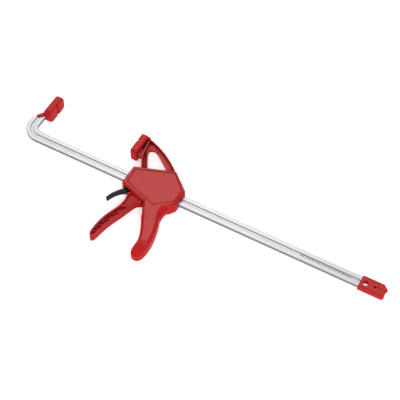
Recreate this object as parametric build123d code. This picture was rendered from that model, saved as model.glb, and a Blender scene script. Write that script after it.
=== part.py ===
"""One-handed bar clamp: bent steel rail, fixed jaw, sliding head with squeeze trigger and brake.

Design frame, millimetres: the rail lies along X with its centre line on Y = 0, the bent arm and
both jaws point to +Y, and Z = 0 is the mid plane of the rail.  X = 0 is the arm's inner edge.
The finished assembly is shifted so that the origin is the centre of its bottom face.
"""
from build123d import *
import os

# ---------------------------------------------------------------- driving dimensions
RAIL_W = 20.0            # rail width, across Y
RAIL_T = 6.0             # rail thickness
GROOVE_W = 5.2           # rolled groove along both rail faces
GROOVE_D = 1.2
RAIL_END = 644.0         # free end of the rail
BEND_R = 11.0            # inner radius of the bend
ARM_TAPER_Y = 28.0       # where the arm starts to narrow
TONGUE_Y = 37.0          # where the fixed pad's tongue starts
TANG_W = 4.4             # narrowed end of the arm, inside the fixed pad
TANG_TOP = 62.0
TONGUE_HALF_T = 4.2

PAD_BASE = 42.6          # lowest edge of both jaw pads
FIXED_PAD = (-4.8, 8.6)  # back and clamping face
FIXED_PAD_TOP = 87.4
MOVING_PAD = (179.4, 166.6)
MOVING_PAD_TOP = 85.0
PAD_HALF = 13.6          # half of a pad's length across the rail
PAD_EDGE = 3.0
V_DEPTH = 3.2            # groove for round work
V_HALF = 3.4
V_Y = 67.0
STEM_END = 187.0         # stem of the moving pad, inside the jaw arm
STEM_Y = (50.0, 57.0)
STEM_HALF = 2.5
LUG_END = 183.8          # lug of the moving pad, over the arm's upper end
LUG_Y = (80.2, 84.0)
LUG_HALF = 10.0

CAP_START = 607.0
CAP_END = 651.0
CAP_HALF_W = 12.0
CAP_HALF_T = 4.4
HANG_X = 616.0
HANG_R = 4.5
HANG_SLEEVE = 0.8        # wall of the cap's sleeve through the rail's hole
CAP_GROOVE = (8.9, 9.7)  # fine groove along both long edges of the cap
CAP_GROOVE_D = 0.5
CAP_PIN_X = 631.5
CAP_PIN_R = 2.1
CAP_PIN_HALF = 2.6
PIN_FIT = 0.05           # clearance round pins and screws

BODY_HALF = 13.0         # half thickness of the head
BODY_EDGE = 3.0          # bevel round the head
WALL = 3.0
CAVITY = 9.6             # half depth of the space inside the head
GRIP_EDGE = 8.0
GRIP_WALL = 2.8
GRIP_CAVITY = 7.2        # half depth of the space inside the grip
ROOT_HALF = 9.4          # corner between grip and body
ROOT_EDGE = 7.0
SCOOP = (281.0, -112.5)  # hollow for the fingers just above the grip's tip
SCOOP_DEPTH = 2.3
SCOOP_R = 30.0
SCOOP_TURN = 22.0
JAW_HALF = 7.0
JAW_WEB = 1.4
JAW_RIM = 1.5
LOW_RIM = 2.8            # half thickness of the rim over the window's top
STEM_RIM = 2.4           # the jaw arm's rim on the side of the pad
SEAT_HALF = 5.0          # half thickness of the block that holds the moving pad
COVER_FLOOR = 11.0
COVER_GAP = 0.4
SLIDE_GAP = 0.15         # running clearance round the rail
FRONT_GUIDE = (191.0, 195.4)   # blocks inside the head that run on the rail's edges
REAR_GUIDE = (282.0, 287.0)
SPRING_STOP = (212.0, 213.6)

TRIGGER_PIVOT = (226.0, 18.0)
TRIGGER_PIN_R = 2.5
TRIGGER_HALF = 7.9
TRIGGER_WEB = 2.6
WEB_TOP = 4.6            # half thickness of the web below the pivot
TRIGGER_RIM = (3.0, 1.5)   # the handle's rims, on the left and on the right
RIB_T = 1.4
RIB_TOP = 6.2
RIB_TILT = 32
FORK_IN = 3.7
FORK_OUT = 7.9
EYE_R = 6.4              # trigger's eye round its pin
NOSE_R = 3.0             # rounded noses that push the drive plates

PLATE_T = 3.0
PLATE_HALF = 8.0
DRIVE_X = 236.0          # front face of the first drive plate
BRAKE_PIVOT = (201.0, 16.5)
BRAKE_TILT = 5.0         # degrees off square when locked
BRAKE_H = 32.4
LEVER_HALF = 4.4

SCREWS_UNDER_COVER = [(212.0, 14.6), (254.0, 28.0), (262.0, -26.0)]
SCREWS_IN_GRIP = [(270.0, -70.0), (280.0, -112.0)]
SCREW_R = 1.5
SCREW_HEAD_R = 2.8
BOSS_R = 3.8
GRIP_SEAT = 4.9          # depth of the screw heads' seats in the grip

# ---------------------------------------------------------------- outlines in the rail's plane
BODY = [(189.2, 18), (256, 42.2), (289, 14.2), (287.8, -16.2), (280.5, -26.5), (268.5, -34),
        (238, -35.6), (189.2, -20.4)]
BODY_CORNER = 4.0
PANEL = [(195.5, 12.9), (257.2, 37), (283.8, 11.2), (284.2, -13.0), (256.6, -35.4), (196.8, -15.3)]
GRIP_LEFT = [(235.5, -33), (245.2, -52.1), (254.6, -69.4), (263.2, -86.8), (268.2, -102), (268.6, -119)]
GRIP_TIP = (276.5, -132)
GRIP_RIGHT = [(290.2, -113), (289.6, -93), (285.2, -71), (278.8, -52), (275.2, -37)]
TRIGGER_LEFT = [(206.8, -32.6), (209.7, -41), (208.3, -59.4), (202.6, -75.3), (197.6, -90.4),
                (194.8, -108), (194.3, -126)]
TRIGGER_TIP = (198.4, -132.2)
TRIGGER_RIGHT = [(203.6, -126.6), (206.0, -112.4), (211.8, -88.9), (217.6, -73.1), (222.8, -57.2),
                 (226.6, -45.8)]


def polygon(points):
    return make_face(Polyline(*points, close=True))


def rounded(points, radius):
    return make_face(FilletPolyline(*points, radius=radius, close=True))


def outline(curves, corners):
    """A face bounded by joined curves, closed by straight lines through the corners."""
    lines = [Line(a, b) for a, b in zip(corners, corners[1:])]
    face = Face(Wire([*curves, *lines]))
    return face if face.normal_at().Z > 0 else -face


def slab(face, low, high):
    return Pos(0, 0, low) * extrude(face, amount=high - low, dir=(0, 0, 1))


def top_edges(shape):
    return shape.faces().sort_by(Axis.Z)[-1].edges()


def bottom_edges(shape):
    return shape.faces().sort_by(Axis.Z)[0].edges()


def block(x, y, z):
    """A box given by its low and high values along each axis."""
    size = (x[1] - x[0], y[1] - y[0], z[1] - z[0])
    middle = ((x[0] + x[1]) / 2, (y[0] + y[1]) / 2, (z[0] + z[1]) / 2)
    return Pos(*middle) * Box(*size)


def rod(place, radius, low, high):
    return Pos(place[0], place[1], (low + high) / 2) * Cylinder(radius, high - low)


def coil(start, end, y, radius, wire, turns):
    """A compression spring along X whose wire is one open helix."""
    path = Helix(pitch=(end - start - 2 * wire) / turns, height=end - start - 2 * wire, radius=radius)
    section = Plane(origin=path @ 0, z_dir=path % 0) * Circle(wire)
    spring = sweep(section, path=path)
    return Pos(start + wire, y, 0) * (Rot(0, 90, 0) * spring)


# ---------------------------------------------------------------- rail and what is fixed to it
def rail_section():
    section = RectangleRounded(RAIL_W, RAIL_T, 1.2)
    for side in (-1, 1):
        section -= Pos(0, side * RAIL_T / 2) * Trapezoid(GROOVE_W, 2 * GROOVE_D, 110)
    return section


def bar_rail():
    centre = BEND_R + RAIL_W / 2
    straight = Plane(origin=(BEND_R, 0, 0), x_dir=(0, 1, 0), z_dir=(1, 0, 0)) * rail_section()
    rail = extrude(straight, amount=RAIL_END - BEND_R)
    bend_axis = Axis((BEND_R, centre, 0), (0, 0, 1))
    rail += revolve(straight, axis=bend_axis, revolution_arc=-90)
    arm = Plane(origin=(-RAIL_W / 2, centre, 0), x_dir=(1, 0, 0), z_dir=(0, 1, 0)) * rail_section()
    rail += extrude(arm, amount=TANG_TOP - centre)
    cut_away = [(-RAIL_W - 1, ARM_TAPER_Y - 3), (-RAIL_W, ARM_TAPER_Y), (-15.2, TONGUE_Y), (-12.2, TONGUE_Y),
                (-TANG_W, 47), (-TANG_W, TANG_TOP + 1), (-RAIL_W - 1, TANG_TOP + 1)]
    rail -= slab(polygon(cut_away), -RAIL_T, RAIL_T)
    rail -= rod((HANG_X, 0), HANG_R + HANG_SLEEVE + PIN_FIT, -RAIL_T, RAIL_T)
    rail -= rod((CAP_PIN_X, 0), CAP_PIN_R + PIN_FIT, -RAIL_T, RAIL_T)
    return rail


def pad_plate(back, face, top, corner):
    """A pad plate whose clamping face carries a V groove along Z for round work."""
    front = Pos((PAD_BASE + top) / 2, 0) * RectangleRounded(top - PAD_BASE, 2 * PAD_HALF, corner)
    low, high = sorted((back, face))
    plate = extrude(Plane(origin=(low, 0, 0), x_dir=(0, 1, 0), z_dir=(1, 0, 0)) * front, amount=high - low)
    plate = fillet(plate.edges().group_by(Axis.X)[0] + plate.edges().group_by(Axis.X)[-1], PAD_EDGE)
    inward = 1 if back > face else -1
    groove = [(face - inward, V_Y - V_HALF - 1.3), (face + inward * V_DEPTH, V_Y),
              (face - inward, V_Y + V_HALF + 1.3)]
    return plate - slab(polygon(groove), -PAD_HALF - 1, PAD_HALF + 1)


def fixed_jaw_pad():
    pad = pad_plate(*FIXED_PAD, FIXED_PAD_TOP, 8.5)
    tongue = [(-15.2, TONGUE_Y - 0.6), (-11.0, 43.0), (-5.5, 49.5), (-3, 54), (-1.4, 47), (-2.4, 43),
              (-3.8, 38.4), (-12.7, 35.4)]
    pad += slab(polygon(tongue), -TONGUE_HALF_T, TONGUE_HALF_T)
    root = rounded([(-7.4, 47.2), (-7.4, 60), (-4, 66), (0, 66), (0, 47.2)], 0.8)
    pad += slab(root, -6.5, 6.5)
    half_t = RAIL_T / 2 + 0.02
    tang = block((-TANG_W - 0.02, 0.02), (PAD_BASE - 4, TANG_TOP + 0.1), (-half_t, half_t))
    return pad - tang - bar_rail()


def end_cap():
    edge = [(CAP_START, -CAP_HALF_W), (CAP_START, CAP_HALF_W), (643, CAP_HALF_W), (CAP_END, 5.4),
            (CAP_END - 1.6, 3.2), (CAP_END - 1.9, -6.2), (CAP_END - 0.6, -8.2), (CAP_END - 3.6, -CAP_HALF_W)]
    cap = slab(polygon(edge), -CAP_HALF_T, CAP_HALF_T)
    cap = chamfer(top_edges(cap) + bottom_edges(cap), 0.7)
    cap -= block((CAP_START - 1, RAIL_END + 0.1), (-RAIL_W / 2 - 0.05, RAIL_W / 2 + 0.05),
                 (-RAIL_T / 2 - 0.05, RAIL_T / 2 + 0.05))
    low, high = CAP_GROOVE
    for side in (-1, 1):
        outside = side * (CAP_HALF_T + 1)
        cap -= block((CAP_PIN_X + 3, CAP_END + 1), (1.0, 2.2), sorted((side * (CAP_HALF_T - 0.7), outside)))
        deep = sorted((side * (CAP_HALF_T - CAP_GROOVE_D), outside))
        cap -= block((CAP_START - 1, CAP_END + 1), (-high, -low), deep)
        cap -= block((CAP_START - 1, CAP_END - 6), (low, high), deep)
    cap += rod((HANG_X, 0), HANG_R + HANG_SLEEVE, -CAP_HALF_T, CAP_HALF_T)
    cap -= rod((HANG_X, 0), HANG_R, -CAP_HALF_T - 1, CAP_HALF_T + 1)
    return cap - rod((CAP_PIN_X, 0), CAP_PIN_R + PIN_FIT, -CAP_HALF_T - 1, CAP_HALF_T + 1)


def end_cap_pin():
    """A rolled spring pin with its slit, a little below both cap faces."""
    pin = rod((CAP_PIN_X, 0), CAP_PIN_R, -CAP_PIN_HALF, CAP_PIN_HALF)
    pin -= rod((CAP_PIN_X, 0), CAP_PIN_R - 0.6, -5, 5)
    return pin - block((CAP_PIN_X, CAP_PIN_X + 3), (-0.2, 0.2), (-5, 5))


# ---------------------------------------------------------------- sliding head
def grip_face(inset=0.0):
    """The grip's side view; an inset moves its sides and tip inward by that much."""
    down, up = (0.02, -1), (0.06, 1)
    left_points = [(x + inset, y) for x, y in GRIP_LEFT]
    right_points = [(x - inset, y) for x, y in GRIP_RIGHT]
    left = Spline(*left_points, tangents=[(0.49, -0.87), down])
    tip = Spline(left_points[-1], (GRIP_TIP[0], GRIP_TIP[1] + inset), right_points[0], tangents=[down, up])
    right = Spline(*right_points, tangents=[up, (0, 1)])
    x_left, x_right = 236 + inset, right_points[-1][0]
    return outline([left, tip, right], [right_points[-1], (x_right, -22), (x_left, -22), left_points[0]])


def grip_root():
    """The hollow corner where the grip runs into the underside of the body, well rounded outside."""
    corner = Spline((279.0, -52.5), (278.6, -38), (283, -23), tangents=[(-0.1, 1), (0.58, 0.81)])
    face = outline([corner], [(283, -23), (268, -23), (268, -52.5), (279.0, -52.5)])
    root = slab(face, 0, ROOT_HALF)
    return fillet(top_edges(root).sort_by(Axis.X)[-1], ROOT_EDGE)


def jaw_face():
    brace = ThreePointArc((184.2, 82.8), (219.7, 67.9), (258.8, 38.8))
    return outline([brace], [(258.8, 38.8), (247, 28), (204, 16), (194.8, 32), (190.5, 39.5), (187.4, 47.3),
                             (185.8, 54), (183.4, 66.4), (181.8, 79.4), (184.2, 82.8)])


def jaw_window():
    return rounded([(212.5, 22), (195.9, 51.5), (190.8, 61.4), (193.4, 66.2), (199.8, 68.4), (205.2, 66.2),
                    (233, 46), (243, 28)], 1.9)


def jaw():
    """Half of the jaw arm, from the mid plane up: a thin web inside a rim, with a window in the web."""
    outer = jaw_face()
    window = jaw_window()
    arm = slab(outer, 0, JAW_HALF) - slab(window, -1, JAW_HALF + 1)
    rim = offset(window, amount=JAW_RIM)
    window_rim = rim & polygon([(203, 14), (222, 14), (199.5, 61), (186, 63)])
    low_rim = rim & polygon([(186, 58), (203, 58), (209, 72), (184, 72)])
    stem_rim = outer - Pos(STEM_RIM, 0) * outer
    arm -= slab(offset(outer, amount=-JAW_RIM) - window_rim - stem_rim, JAW_WEB, JAW_HALF + 1)
    arm += slab(low_rim - window, 0, LOW_RIM)
    # the web behind the pad, the block that its stem plugs into and the rest for its lug
    back = MOVING_PAD[0]
    arm += slab(polygon([(back + 0.1, 59), (187, 59), (183.5, 79.8), (back + 0.1, 79.8)]), 0, JAW_WEB)
    arm += slab(polygon([(back, 46.4), (189, 46.4), (187.4, 60.3), (back, 60.3)]), 0, SEAT_HALF)
    arm -= block((back - 1, STEM_END + PIN_FIT), (STEM_Y[0] - PIN_FIT, STEM_Y[1] + PIN_FIT),
                 (-1, STEM_HALF + PIN_FIT))
    return arm - block((back, LUG_END + PIN_FIT), (LUG_Y[0] - PIN_FIT, LUG_Y[1] + 2), (-1, JAW_HALF + 1))


def shell():
    """One half of the head, from the mid plane up, before its screw holes."""
    body_face = rounded(BODY, BODY_CORNER)
    body = slab(body_face, 0, BODY_HALF)
    body = chamfer(top_edges(body), BODY_EDGE)
    grip = slab(grip_face(), 0, BODY_HALF)
    grip = fillet(top_edges(grip), GRIP_EDGE)
    across = Pos(SCOOP[0], SCOOP[1], BODY_HALF - SCOOP_DEPTH + SCOOP_R) * Rot(0, 90, SCOOP_TURN)
    grip -= across * Cylinder(SCOOP_R, 60)
    half = body + grip + grip_root()
    half -= slab(offset(body_face, amount=-WALL), -1, CAVITY)
    half -= slab(grip_face(GRIP_WALL), -1, GRIP_CAVITY)
    half -= slab(polygon([(195.6, -17), (195.6, -30), (236, -42), (246.8, -60), (252, -58), (256, -28),
                          (230, -17)]), -1, CAVITY)
    half += jaw() - slab(offset(body_face, amount=-WALL), -1, CAVITY)
    half -= slab(offset(polygon(PANEL), amount=COVER_GAP), COVER_FLOOR, BODY_HALF + 1)
    # guides at both ends, the seat of the brake plate, the stop of the brake spring
    half += block(FRONT_GUIDE, (-16, 16), (0, CAVITY))
    half += block(REAR_GUIDE, (-15, 15), (0, CAVITY))
    half += block((196, 199.0), (13.4, 19), (0, CAVITY))
    half += block((203.2, 206), (13.4, 22), (0, CAVITY))
    half += block(SPRING_STOP, (-18.2, -10.6), (0, CAVITY))
    half += rod(TRIGGER_PIVOT, 5.0, FORK_OUT + 0.3, CAVITY)
    for place in SCREWS_UNDER_COVER + SCREWS_IN_GRIP:
        half += rod(place, BOSS_R, 0, CAVITY)
    half -= rod(TRIGGER_PIVOT, TRIGGER_PIN_R + 0.02, -1, COVER_FLOOR)
    slot = (RAIL_W / 2 + SLIDE_GAP, RAIL_T / 2 + SLIDE_GAP)
    return half - block((180, 300), (-slot[0], slot[0]), (-slot[1], slot[1]))


def front_housing():
    half = shell()
    for place in SCREWS_UNDER_COVER + SCREWS_IN_GRIP:
        half -= rod(place, SCREW_R + PIN_FIT, -1, 8.2)
    return half


def rear_housing():
    half = mirror(shell(), about=Plane.XY)
    for place in SCREWS_UNDER_COVER:
        half -= rod(place, SCREW_R + 0.1, -BODY_HALF, 1)
        half -= rod(place, SCREW_HEAD_R + 0.2, -BODY_HALF - 1, -CAVITY + 1)
    for place in SCREWS_IN_GRIP:
        half -= rod(place, SCREW_R + 0.1, -BODY_HALF, 1)
        half -= rod(place, SCREW_HEAD_R + 0.2, -BODY_HALF - 1, -BODY_HALF + GRIP_SEAT)
    return half


def housing_screws():
    screws = []
    for place in SCREWS_UNDER_COVER + SCREWS_IN_GRIP:
        seat = -CAVITY + 1 if place in SCREWS_UNDER_COVER else -BODY_HALF + GRIP_SEAT
        head = rod(place, SCREW_HEAD_R, seat - 2, seat)
        head = fillet(head.edges().group_by(Axis.Z)[0], 0.8)
        cross = block((-1.7, 1.7), (-0.35, 0.35), (-1.2, 0)) + block((-0.35, 0.35), (-1.7, 1.7), (-1.2, 0))
        head -= Pos(place[0], place[1], seat - 1) * cross
        screws.append(head + rod(place, SCREW_R, seat, 7.6))
    return Compound(children=screws)


def cover():
    plate = slab(offset(polygon(PANEL), amount=-COVER_GAP), COVER_FLOOR, BODY_HALF + 0.1)
    return chamfer(top_edges(plate), 0.6)


def moving_jaw_pad():
    """The pad, the stem that plugs into the jaw arm, and the lug over the arm's upper end."""
    pad = pad_plate(*MOVING_PAD, MOVING_PAD_TOP, 5.0)
    lug = block((MOVING_PAD[0] - 3, LUG_END), LUG_Y, (-LUG_HALF, LUG_HALF))
    lug = fillet(lug.edges().group_by(Axis.X)[-1], 1.2)
    return pad + lug + block((MOVING_PAD[0] - 1, STEM_END), STEM_Y, (-STEM_HALF, STEM_HALF))


# ---------------------------------------------------------------- squeeze trigger and drive
def handle_face():
    left = Spline(*TRIGGER_LEFT)
    tip = Spline(TRIGGER_LEFT[-1], TRIGGER_TIP, TRIGGER_RIGHT[0])
    right = Spline(*TRIGGER_RIGHT)
    return outline([left, tip, right],
                   [TRIGGER_RIGHT[-1], (229.5, -40.6), (236, -36.4), (231.8, -27), (231.4, -21.5),
                    (229, -15.2), (218, -12.4), (214.8, -22), TRIGGER_LEFT[0]])


def handle_hollow():
    """The open channel in each side of the handle, inside its rim."""
    left = [(x + TRIGGER_RIM[0], y) for x, y in TRIGGER_LEFT[2:]]
    right = [(x - TRIGGER_RIM[1], y) for x, y in TRIGGER_RIGHT[:-1]]
    tip = Spline(left[-1], (TRIGGER_TIP[0] + 1, TRIGGER_TIP[1] + TRIGGER_RIM[0]), right[0])
    return outline([Spline(*left), tip, Spline(*right)], [right[-1], left[0]])


def fork_face():
    eye = Pos(*TRIGGER_PIVOT) * Circle(EYE_R)
    cheek = polygon([(219.6, 18), (219, -2), (217, -14), (216.5, -24), (231.6, -24), (231.2, -15),
                     (232.6, -8), (232.4, 18)])
    nose = Pos(DRIVE_X - NOSE_R - 0.1, -12.6) * Circle(NOSE_R)
    return eye + cheek + nose


def trigger():
    face = handle_face()
    handle = slab(face, -TRIGGER_HALF, TRIGGER_HALF)
    hollow = handle_hollow()
    shallow = polygon([(211.4, -56), (212.2, -44), (210.4, -35.5), (212, -29), (230, -29), (232.4, -36.6),
                       (225.2, -43.0), (220.6, -55.6)])
    for side in (-1, 1):
        outside = side * (TRIGGER_HALF + 1)
        handle -= slab(hollow, *sorted((side * TRIGGER_WEB, outside)))
        handle -= slab(shallow, *sorted((side * WEB_TOP, outside)))
    ribs = Part()
    for step in range(9):
        middle = (211.0 - 1.62 * step, -61.0 - 7.6 * step)
        turn = 12 + RIB_TILT * (-1) ** step
        ribs += Pos(middle[0], middle[1], 0) * (Rot(0, 0, turn) * Box(36, RIB_T, 2 * RIB_TOP))
    handle += ribs & slab(face, -TRIGGER_HALF, TRIGGER_HALF)
    fork = slab(fork_face(), -FORK_OUT, FORK_OUT)
    fork -= slab(polygon([(210, 30), (240, 30), (240, -18.2), (229, -15.2), (218, -12.4), (210, -12.4)]),
                 -FORK_IN, FORK_IN)
    return handle + fork - rod(TRIGGER_PIVOT, TRIGGER_PIN_R + 0.06, -20, 20)


def trigger_pin():
    pin = rod(TRIGGER_PIVOT, TRIGGER_PIN_R, -COVER_FLOOR + 0.1, COVER_FLOOR - 0.1)
    return chamfer(pin.edges().filter_by(GeomType.CIRCLE), 0.4)


def drive_plate(x):
    plate = Pos(-0.5, 0) * RectangleRounded(35, 2 * PLATE_HALF, 2.0)
    window = Rectangle(RAIL_W + 0.4, RAIL_T + 0.4)
    across = Plane(origin=(x, 0, 0), x_dir=(0, 1, 0), z_dir=(1, 0, 0))
    return extrude(across * (plate - window), amount=PLATE_T)


def drive_plate_front():
    return drive_plate(DRIVE_X)


def drive_plate_rear():
    return drive_plate(DRIVE_X + PLATE_T + 0.2)


def drive_spring():
    return coil(DRIVE_X + 2 * PLATE_T + 0.3, REAR_GUIDE[0] - 0.1, -14.0, 2.9, 0.5, 9)


# ---------------------------------------------------------------- brake
def tilted(shape):
    """Turn a square-on brake piece about the brake pivot to its locked, tilted place."""
    about = Pos(BRAKE_PIVOT[0], BRAKE_PIVOT[1], 0)
    return about * (Rot(0, 0, -BRAKE_TILT) * (Pos(-BRAKE_PIVOT[0], -BRAKE_PIVOT[1], 0) * shape))


def brake_plate():
    x = BRAKE_PIVOT[0]
    profile = Pos(x, -0.25) * Rectangle(PLATE_T, BRAKE_H)
    profile += Pos(*BRAKE_PIVOT) * Circle(PLATE_T / 2)
    plate = slab(profile, -PLATE_HALF, PLATE_HALF)
    plate += block((x - PLATE_T / 2, x + PLATE_T / 2), (-25.5, -16), (-3, 3))
    window = block((x - 5, x + 5), (-10.3, 10.22), (-RAIL_T / 2 - SLIDE_GAP, RAIL_T / 2 + SLIDE_GAP))
    return tilted(plate - window)


def release_lever():
    outer = Spline((196.6, -24.2), (191.2, -29.8), (185.6, -37.8), (181.4, -46.6), (179.6, -52.4))
    tip = ThreePointArc((179.6, -52.4), (181.0, -55.2), (183.8, -53.6))
    inner = Spline((183.8, -53.6), (188.0, -43.4), (193, -36.0), (198.4, -31), (203.6, -28.6))
    face = outline([outer, tip, inner], [(203.6, -28.6), (203.6, -18.6), (196.6, -18.6), (196.6, -24.2)])
    finger = slab(face, -LEVER_HALF, LEVER_HALF)
    finger = fillet(top_edges(finger) + bottom_edges(finger), 0.9)
    return finger - brake_plate()


def brake_spring():
    return coil(200.7, SPRING_STOP[0] - 0.1, -14.3, 2.6, 0.4, 5)


PARTS = {f.__name__: f for f in (
    bar_rail, fixed_jaw_pad, end_cap, end_cap_pin, front_housing, rear_housing, housing_screws,
    moving_jaw_pad, trigger, trigger_pin, drive_plate_front, drive_plate_rear, drive_spring,
    brake_plate, release_lever, brake_spring)}


def build():
    """Every part in the row frame, with the shift that takes the design frame there."""
    shapes = {name: make() for name, make in PARTS.items()}
    shapes["front_cover"] = cover()
    shapes["rear_cover"] = mirror(cover(), about=Plane.XY)
    boxes = [shape.bounding_box() for shape in shapes.values()]
    low = [min(getattr(box.min, axis) for box in boxes) for axis in "XYZ"]
    high = [max(getattr(box.max, axis) for box in boxes) for axis in "XYZ"]
    shift = (-(low[0] + high[0]) / 2, -(low[1] + high[1]) / 2, -low[2])
    return {name: Pos(*shift) * shape for name, shape in shapes.items()}, shift


if __name__ == "__main__":
    os.makedirs("parts", exist_ok=True)
    placed, shift = build()
    for name, shape in placed.items():
        export_step(shape, f"parts/{name}.step")
    print("shift", [round(value, 3) for value in shift])
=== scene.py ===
"""Looks for the one-handed bar clamp: moulded red pieces, a satin steel rail and plain studio light."""
import bmesh
import bpy
import math
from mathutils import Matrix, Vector


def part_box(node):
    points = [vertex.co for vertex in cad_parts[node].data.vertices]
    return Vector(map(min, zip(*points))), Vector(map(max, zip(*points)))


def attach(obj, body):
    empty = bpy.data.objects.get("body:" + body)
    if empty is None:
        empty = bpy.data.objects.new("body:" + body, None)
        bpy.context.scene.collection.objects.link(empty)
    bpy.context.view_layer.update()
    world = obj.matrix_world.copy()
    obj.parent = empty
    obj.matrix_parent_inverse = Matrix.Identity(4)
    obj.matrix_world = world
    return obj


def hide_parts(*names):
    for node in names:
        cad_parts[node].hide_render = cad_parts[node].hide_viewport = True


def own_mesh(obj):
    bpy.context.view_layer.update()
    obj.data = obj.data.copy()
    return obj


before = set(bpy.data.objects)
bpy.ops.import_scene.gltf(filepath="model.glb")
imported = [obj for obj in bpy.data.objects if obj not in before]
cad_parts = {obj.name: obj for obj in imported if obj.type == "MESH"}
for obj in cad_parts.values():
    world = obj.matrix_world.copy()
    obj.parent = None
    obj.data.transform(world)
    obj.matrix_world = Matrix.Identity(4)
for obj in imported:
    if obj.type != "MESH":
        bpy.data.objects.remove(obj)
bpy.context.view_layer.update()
scene = bpy.context.scene
MM = 0.001
RAIL_CORNER = Vector((-20.0, -10.0, -3.0))  # lowest corner of the rail in the CAD source's own frame, mm
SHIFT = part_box("bar_rail")[0] / MM - RAIL_CORNER


def at(x, y, z):
    """A point of the CAD source's frame, in mm, as a point of the row frame in metres."""
    return (Vector((x, y, z)) + SHIFT) * MM


# ---------------------------------------------------------------- camera, floor and light
CAMERA_AT = at(878.45, -996.69, 1581.13)
CAMERA_TARGET = at(314.29, 17.41, 0.0)
LENS = 108.88
SENSOR = 36.0
# place in metres, size in metres, power in watts
SOFTBOXES = {"front_softbox": ((0.9, -1.2, 1.5), (1.0, 0.8), 26),
             "back_softbox": ((-0.6, 1.1, 1.6), (1.5, 1.2), 11),
             "left_softbox": ((-1.6, -0.5, 1.2), (0.9, 0.9), 4)}
SKY = 0.45          # strength of the even light from all round
FLOOR_GLOW = 0.45   # keeps the floor white round the shadow
FLOOR_HALF = 4.0
FLOOR_GAP = 0.5 * MM  # the floor lies this far under the clamp


def aim(obj, place, target):
    obj.location = place
    obj.rotation_mode = "QUATERNION"
    obj.rotation_quaternion = (Vector(target) - Vector(place)).to_track_quat("-Z", "Y")
    scene.collection.objects.link(obj)


def add_camera():
    data = bpy.data.cameras.new("camera")
    data.lens = LENS
    data.sensor_width = SENSOR
    data.clip_start, data.clip_end = 0.05, 20.0
    camera = bpy.data.objects.new("camera", data)
    aim(camera, CAMERA_AT, CAMERA_TARGET)
    scene.camera = camera


def area_light(name, place, size, power):
    data = bpy.data.lights.new(name, "AREA")
    data.shape = "RECTANGLE"
    data.size, data.size_y = size
    data.energy = power
    aim(bpy.data.objects.new(name, data), place, (0, 0, 0))


def add_studio():
    scene.view_settings.view_transform = "Standard"
    world = bpy.data.worlds.new("studio")
    world.use_nodes = True
    background = world.node_tree.nodes["Background"]
    background.inputs["Color"].default_value = (1, 1, 1, 1)
    background.inputs["Strength"].default_value = SKY
    scene.world = world
    for name, (place, size, power) in SOFTBOXES.items():
        area_light(name, place, size, power)
    mesh = bpy.data.meshes.new("floor")
    corners = [(FLOOR_HALF * x, FLOOR_HALF * y, 0) for x, y in ((-1, -1), (1, -1), (1, 1), (-1, 1))]
    mesh.from_pydata(corners, [], [(0, 1, 2, 3)])
    floor = bpy.data.objects.new("floor", mesh)
    floor.location.z = -FLOOR_GAP
    scene.collection.objects.link(floor)
    material = bpy.data.materials.new("floor_white")
    material.use_nodes = True
    shader = material.node_tree.nodes["Principled BSDF"]
    shader.inputs["Base Color"].default_value = (0.93, 0.93, 0.93, 1)
    shader.inputs["Roughness"].default_value = 0.9
    shader.inputs["Specular IOR Level"].default_value = 0.1
    shader.inputs["Emission Color"].default_value = (1, 1, 1, 1)
    shader.inputs["Emission Strength"].default_value = FLOOR_GLOW
    mesh.materials.append(material)


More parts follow.
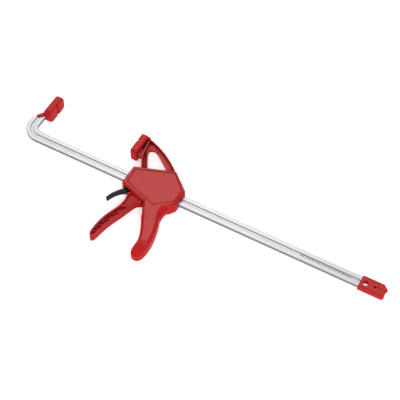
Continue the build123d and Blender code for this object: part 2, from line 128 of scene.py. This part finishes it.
# ---------------------------------------------------------------- materials
class Nodes:
    """A material's node tree with short ways to add to it."""

    def __init__(self, name):
        self.material = bpy.data.materials.new(name)
        self.material.use_nodes = True
        self.tree = self.material.node_tree
        self.shader = self.tree.nodes["Principled BSDF"]
        self.place = self.new("ShaderNodeTexCoord").outputs["Object"]

    def new(self, kind, **settings):
        node = self.tree.nodes.new(kind)
        for key, value in settings.items():
            setattr(node, key, value)
        return node

    def put(self, socket, value):
        if isinstance(value, bpy.types.NodeSocket):
            self.tree.links.new(value, socket)
        else:
            socket.default_value = value

    def math(self, operation, *values):
        node = self.new("ShaderNodeMath", operation=operation)
        for socket, value in zip(node.inputs, values):
            self.put(socket, value)
        return node.outputs[0]

    def step(self, value, low, high, out_low=0.0, out_high=1.0):
        """Smooth step of value from out_low at low to out_high at high."""
        node = self.new("ShaderNodeMapRange", interpolation_type="SMOOTHSTEP")
        for name, number in (("Value", value), ("From Min", low), ("From Max", high),
                             ("To Min", out_low), ("To Max", out_high)):
            self.put(node.inputs[name], number)
        return node.outputs["Result"]

    def mix(self, factor, a, b):
        node = self.new("ShaderNodeMix", data_type="RGBA")
        self.put(node.inputs["Factor"], factor)
        for name, value in (("A", a), ("B", b)):
            socket = [s for s in node.inputs if s.name == name and s.type == "RGBA"][0]
            self.put(socket, value if isinstance(value, bpy.types.NodeSocket) else (*value, 1))
        return [s for s in node.outputs if s.type == "RGBA"][0]

    def noise(self, scale, detail=2.0, vector=None):
        """Noise with this many features to a metre, or over the given vector."""
        node = self.new("ShaderNodeTexNoise")
        self.put(node.inputs["Vector"], self.place if vector is None else vector)
        node.inputs["Scale"].default_value = scale
        node.inputs["Detail"].default_value = detail
        return node.outputs["Fac"]

    def parts(self, vector):
        node = self.new("ShaderNodeSeparateXYZ")
        self.put(node.inputs[0], vector)
        return node.outputs

    def vector(self, x, y, z):
        node = self.new("ShaderNodeCombineXYZ")
        for socket, value in zip(node.inputs, (x, y, z)):
            self.put(socket, value)
        return node.outputs[0]

    def flat(self, low, high):
        """0 on side walls, 1 on faces that look along the clamp's thickness."""
        normal = self.parts(self.new("ShaderNodeNewGeometry").outputs["Normal"])
        return self.step(self.math("ABSOLUTE", normal[2]), low, high)

    def crevice(self, reach, low=0.25, high=0.92):
        """0 deep in a corner or hole, 1 in the open, as a mask for painted shade; reach is how far a wall
        makes itself felt.
        """
        node = self.new("ShaderNodeAmbientOcclusion", samples=8)
        node.inputs["Distance"].default_value = reach
        return self.step(node.outputs["AO"], low, high)

    def finish(self, colour, roughness, height, bump, distance, **fixed):
        """Feed the shader; bump is the strength and distance the depth, in metres, of the relief."""
        self.put(self.shader.inputs["Base Color"], colour)
        self.put(self.shader.inputs["Roughness"], roughness)
        node = self.new("ShaderNodeBump")
        node.inputs["Strength"].default_value = bump
        node.inputs["Distance"].default_value = distance
        self.put(node.inputs["Height"], height)
        self.put(self.shader.inputs["Normal"], node.outputs[0])
        for name, value in fixed.items():
            self.shader.inputs[name.replace("_", " ")].default_value = value
        return self.material


GRIP_END = at(280, -117, 0)
NO_SHEEN_EDGE = (12.0 * MM, 24.0 * MM)  # from its middle: where the spot left without painted sheen starts to fade and ends


def moulded_red(name, pale=1.0, shade=(0.14, 0.003, 0.005), reach=0.009, deep=1.0, no_sheen_at=None):
    """Glass-filled nylon: fine spark texture on the broad faces, smoother and deeper red on the walls; the
    broad faces' paler red is a painted sheen of the light from above.

    pale is how far the broad faces turn to the paler red of the painted sheen, shade the colour of the
    painted shade in corners and holes out to reach metres, deep scales the walls' red, and no_sheen_at is
    the middle of a spot left without the painted sheen, painted shade on the grip's end.
    """
    n = Nodes(name)
    broad = n.flat(0.90, 0.995)
    # painted shade: the spot round the grip's end is left without the painted sheen
    if no_sheen_at is not None:
        away = n.new("ShaderNodeVectorMath", operation="DISTANCE")
        n.put(away.inputs[0], n.place)
        n.put(away.inputs[1], no_sheen_at)
        broad = n.math("MULTIPLY", broad, n.step(away.outputs["Value"], *NO_SHEEN_EDGE))
    mottle = n.noise(90.0, 3.0)
    grain = n.noise(1500.0, 2.0)
    # wall is the walls' red; face is the broad faces' paler red, a painted sheen of the light from above
    wall = n.mix(mottle, (0.40 * deep, 0.010, 0.012), (0.48 * deep, 0.016, 0.018))
    face = n.mix(mottle, (0.44, 0.060, 0.058), (0.51, 0.072, 0.070))
    # painted shade in corners and holes, where the painted sheen also fades
    open_air = n.crevice(reach)
    colour = n.mix(n.math("MULTIPLY", broad, n.math("MULTIPLY", open_air, pale)), wall, face)
    colour = n.mix(open_air, shade, colour)
    rough = n.step(n.math("ADD", broad, n.math("MULTIPLY", grain, 0.3)), 0.0, 1.3, 0.36, 0.55)
    return n.finish(colour, rough, grain, 0.2, 0.00005, Specular_IOR_Level=0.04)


def black_plastic(name):
    n = Nodes(name)
    grain = n.noise(1300.0, 2.0)
    colour = n.mix(n.noise(120.0, 3.0), (0.005, 0.004, 0.004), (0.014, 0.011, 0.012))
    rough = n.step(grain, 0.2, 0.8, 0.36, 0.52)
    return n.finish(colour, rough, grain, 0.4, 0.00006, Specular_IOR_Level=0.22)


BEND_CENTRE = at(11, 21, 0)
BEND_RADIUS = 21.0 * MM       # to the rail's middle line
GROOVE_SHADE_LINE = 2.45 * MM       # from the middle line to the middle of the dark line of painted shade along each side of the groove
GROOVE_FADE = (0.35 * MM, 0.75 * MM)  # from the dark line's middle: where it fades and where it ends
EDGE_SHADE = (9.1 * MM, 9.9 * MM)  # from the middle line: where the painted shade on the edge starts and is darkest
TICKS_FROM = at(505, 0, 0).x
TICKS_TO = at(593, 0, 0).x
TICK_PITCH = 4.0 * MM
TICK_SHARE = 0.32             # of the pitch that a mark fills
TICK_HALF = 1.5 * MM


def rail_steel(name):
    """Drawn steel with a satin zinc coat and fine lines along it; painted shade darkens it beside the
    groove, on the edges and in holes and corners.
    """
    n = Nodes(name)
    x, y, z = n.parts(n.place)
    # distance from the bend's centre, or on the straight runs from the line through it
    u = n.math("MAXIMUM", n.math("SUBTRACT", BEND_CENTRE.x, x), 0.0)
    v = n.math("MAXIMUM", n.math("SUBTRACT", BEND_CENTRE.y, y), 0.0)
    radius = n.math("SQRT", n.math("ADD", n.math("MULTIPLY", u, u), n.math("MULTIPLY", v, v)))
    across = n.math("SUBTRACT", radius, BEND_RADIUS)
    along = n.math("SUBTRACT", x, y)
    side = n.math("ABSOLUTE", across)
    fine = n.vector(n.math("MULTIPLY", across, 2600.0), n.math("MULTIPLY", along, 14.0), 0.0)
    lines = n.noise(1.0, 3.0, fine)
    coarse = n.vector(n.math("MULTIPLY", across, 420.0), n.math("MULTIPLY", along, 5.0), 3.0)
    bands = n.noise(1.0, 2.0, coarse)
    colour = n.mix(n.step(bands, 0.3, 0.7), (0.53, 0.53, 0.544), (0.61, 0.61, 0.62))
    colour = n.mix(n.step(lines, 0.35, 0.75, 0.0, 0.35), colour, (0.44, 0.44, 0.455))
    # painted shade: a dark line along each side of the groove
    from_line = n.math("ABSOLUTE", n.math("SUBTRACT", side, GROOVE_SHADE_LINE))
    colour = n.mix(n.step(from_line, *GROOVE_FADE), (0.30, 0.30, 0.31), colour)
    # painted shade on the rail's edges
    colour = n.mix(n.step(side, *EDGE_SHADE), colour, (0.20, 0.20, 0.21))
    # plain scale marks in the groove, on the front only
    phase = n.math("FRACT", n.math("DIVIDE", n.math("SUBTRACT", x, TICKS_FROM), TICK_PITCH))
    mark = n.math("LESS_THAN", phase, TICK_SHARE)
    mark = n.math("MULTIPLY", mark, n.math("GREATER_THAN", x, TICKS_FROM))
    mark = n.math("MULTIPLY", mark, n.math("LESS_THAN", x, TICKS_TO))
    mark = n.math("MULTIPLY", mark, n.math("LESS_THAN", side, TICK_HALF))
    mark = n.math("MULTIPLY", mark, n.math("GREATER_THAN", z, SHIFT.z * MM))
    colour = n.mix(mark, colour, (0.03, 0.03, 0.03))
    # painted shade in holes and corners
    colour = n.mix(n.crevice(0.005, 0.1, 0.7), (0.05, 0.05, 0.052), colour)
    return n.finish(colour, n.step(bands, 0.2, 0.8, 0.34, 0.46), lines, 0.12, 0.00004, Metallic=0.85)


def plated_steel(name, dark, light):
    n = Nodes(name)
    bloom = n.noise(160.0, 4.0)
    colour = n.mix(n.step(bloom, 0.3, 0.7), dark, light)
    # painted shade in corners and holes
    colour = n.mix(n.crevice(0.003), tuple(0.3 * c for c in dark), colour)
    rough = n.step(bloom, 0.25, 0.75, 0.30, 0.5)
    return n.finish(colour, rough, n.noise(900.0), 0.15, 0.00004, Metallic=1.0)


# ---------------------------------------------------------------- moulded pieces
SHARP = math.radians(32.0)    # edges that turn by more than this are rounded over
FLAT = math.radians(0.6)      # faces that turn by less than this are joined
WELD, SLIVER = 2e-6, 1e-6     # metres: points this close become one, shorter edges go
ROUND_STEPS = 3


def stand_in(mesh, name, body, node):
    """A new piece with this mesh that rides on the body and is shown in place of the CAD node."""
    piece = bpy.data.objects.new(name, mesh)
    scene.collection.objects.link(piece)
    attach(piece, body)
    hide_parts(node)
    return piece


def rounded_copy(node, name, body, material, radius):
    """The CAD node's shape with its sharp edges rounded over, as moulded plastic has them."""
    mesh = bpy.data.meshes.new(name)
    bm = bmesh.new()
    bm.from_mesh(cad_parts[node].data)
    bmesh.ops.remove_doubles(bm, verts=bm.verts, dist=WELD)
    bmesh.ops.dissolve_degenerate(bm, dist=SLIVER, edges=bm.edges)
    bmesh.ops.dissolve_limit(bm, angle_limit=FLAT, verts=bm.verts, edges=bm.edges)
    bm.to_mesh(mesh)
    bm.free()
    if "custom_normal" in mesh.attributes:
        mesh.attributes.remove(mesh.attributes["custom_normal"])
    for polygon in mesh.polygons:
        polygon.use_smooth = True
    mesh.materials.append(material)
    piece = stand_in(mesh, name, body, node)
    bevel = piece.modifiers.new("edges", "BEVEL")
    bevel.width = radius
    bevel.segments = ROUND_STEPS
    bevel.limit_method = "ANGLE"
    bevel.angle_limit = SHARP
    bevel.use_clamp_overlap = True
    piece.modifiers.new("normals", "WEIGHTED_NORMAL").keep_sharp = False


def pressed_spring(node, name):
    """A copy of the coil in zinc that rides on the head in place of the CAD node."""
    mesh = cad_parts[node].data.copy()
    mesh.name = name
    mesh.materials.clear()
    mesh.materials.append(zinc)
    piece = stand_in(mesh, name, "head", node)
    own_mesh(piece)


add_camera()
add_studio()

# four copies of one red nylon: they differ in how much painted sheen the broad faces take, the colour and
# reach of the painted shade in corners and how deep the walls' red is; the head's copy leaves the grip's end
# without painted sheen
red = moulded_red("red_moulding")
red_head = moulded_red("red_head", no_sheen_at=GRIP_END)
red_small = moulded_red("red_small_parts", 0.45, deep=1.05)
red_trigger = moulded_red("red_trigger", 0.35, (0.24, 0.002, 0.006), 0.005, 0.90)
black = black_plastic("black_moulding")
rail = rail_steel("rail_zinc")
zinc = plated_steel("zinc_plate", (0.42, 0.42, 0.44), (0.56, 0.56, 0.57))
dark_steel = plated_steel("oiled_steel", (0.10, 0.10, 0.105), (0.17, 0.17, 0.175))

# node, piece, body, slot, material and edge radius in mm
ROUNDED = [("front_housing", "head_front_half", "head", "red_plastic", red_head, 0.5),
           ("rear_housing", "head_rear_half", "head", "red_plastic", red_head, 0.5),
           ("front_cover", "front_cover_plate", "head", "red_plastic", red, 0.4),
           ("rear_cover", "rear_cover_plate", "head", "red_plastic", red, 0.4),
           ("moving_jaw_pad", "moving_pad", "head", "red_plastic", red_small, 0.8),
           ("fixed_jaw_pad", "fixed_pad", "rail", "red_plastic", red_small, 0.8),
           ("end_cap", "rail_end_cap", "rail", "red_plastic", red_small, 0.5),
           ("trigger", "squeeze_trigger", "trigger", "red_plastic", red_trigger, 0.6),
           ("release_lever", "brake_release_lever", "brake", "black_plastic", black, 0.6)]
for node, name, body, slot, material, radius in ROUNDED:
    rounded_copy(node, name, body, material, radius * MM)

# CAD nodes shown as they are, with a material of their own
KEPT = {"bar_rail": rail, "end_cap_pin": dark_steel, "housing_screws": zinc, "trigger_pin": zinc,
        "drive_plate_front": dark_steel, "drive_plate_rear": dark_steel, "brake_plate": dark_steel}
for node, material in KEPT.items():
    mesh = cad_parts[node].data
    mesh.materials.clear()
    mesh.materials.append(material)

# node, piece, joint and how far the joint presses the spring, in mm
SPRINGS = [("drive_spring", "drive_plate_spring", "drive_stroke", 11.3),
           ("brake_spring", "brake_plate_spring", "brake_release", 3.0)]
for node, name, joint, travel in SPRINGS:
    pressed_spring(node, name)
